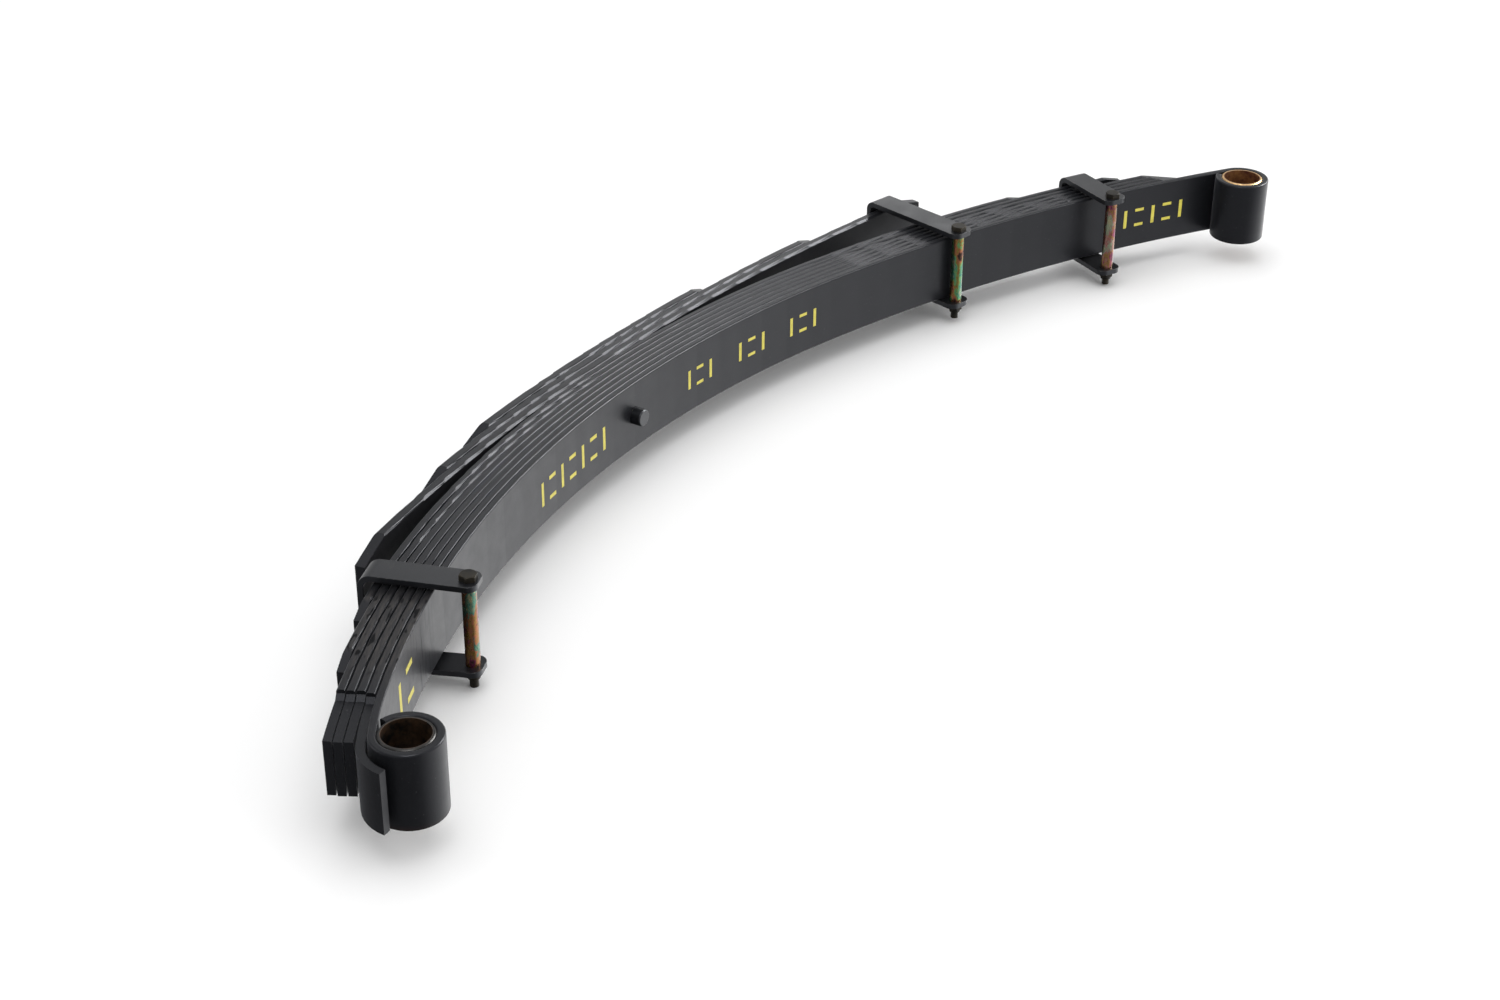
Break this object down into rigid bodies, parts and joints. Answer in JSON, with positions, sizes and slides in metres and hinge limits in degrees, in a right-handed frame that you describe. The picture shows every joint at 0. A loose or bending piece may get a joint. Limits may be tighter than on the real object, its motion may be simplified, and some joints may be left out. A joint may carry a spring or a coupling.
{
  "type": "leaf spring",
  "caption": "Two-stage multi-leaf suspension spring with rolled eyes at both ends, a helper pack, a centre bolt and bolted rebound clips.",
  "frame": {"origin": "centre bolt's axis on the main leaf's concave face, at the middle of the leaf width", "axes": "+X along the seat to the longer limb, +Y to the convex (helper) side, +Z across the leaf width; the spring lies on its edge"},
  "size_m": [1.4197, 0.4121, 0.1117],
  "materials": {
    "leaf_paint": "satin black paint with fine grain",
    "clip_paint": "satin black paint, worn at the edges",
    "zinc_sleeve": "yellow zinc plate with iridescent patches",
    "black_steel": "black oxide",
    "near_bush": "dark steel with brown staining in the bore",
    "far_bush": "golden rim with red-brown bore"
  },
  "bodies": {
    "leaf_pack": {"main_leaf": "leaf_paint", "wrap_leaf": "leaf_paint", "leaf_3": "leaf_paint", "leaf_4": "leaf_paint", "leaf_5": "leaf_paint", "leaf_6": "leaf_paint", "leaf_7": "leaf_paint", "helper_leaf_1": "leaf_paint", "helper_leaf_2": "leaf_paint", "helper_leaf_3": "leaf_paint", "centre_bolt": "clip_paint", "centre_bolt_nut": "black_steel", "helper_clip_strap": "clip_paint", "helper_clip_sleeve": "zinc_sleeve", "helper_clip_bolt": "black_steel", "helper_clip_nut": "black_steel", "helper_clip_rivet": "clip_paint"},
    "near_limb": {"near_eye_bush": "near_bush", "near_clip_strap": "clip_paint", "near_clip_sleeve": "zinc_sleeve", "near_clip_bolt": "black_steel", "near_clip_nut": "black_steel", "near_clip_rivet": "clip_paint"},
    "far_limb": {"far_eye_bush": "far_bush", "far_clip_strap": "clip_paint", "far_clip_sleeve": "zinc_sleeve", "far_clip_bolt": "black_steel", "far_clip_nut": "black_steel", "far_clip_rivet": "clip_paint"}
  },
  "joints": [
    {"name": "near_limb_flex", "type": "hinge", "parent": "leaf_pack", "child": "near_limb", "pos_m": [-0.1972, 0.0069, 0], "axis": [0, 0, -1], "range_deg": [0, 6.5], "stiffness_Nm_per_rad": 5700, "deforming": ["main_leaf", "wrap_leaf", "leaf_3", "leaf_4", "leaf_5", "leaf_6", "leaf_7"]},
    {"name": "far_limb_flex", "type": "hinge", "parent": "leaf_pack", "child": "far_limb", "pos_m": [0.2592, -0.0053, 0], "axis": [0, 0, 1], "range_deg": [0, 11], "stiffness_Nm_per_rad": 4400, "deforming": ["main_leaf", "wrap_leaf", "leaf_3", "leaf_4", "leaf_5", "leaf_6", "leaf_7"]}
  ]
}
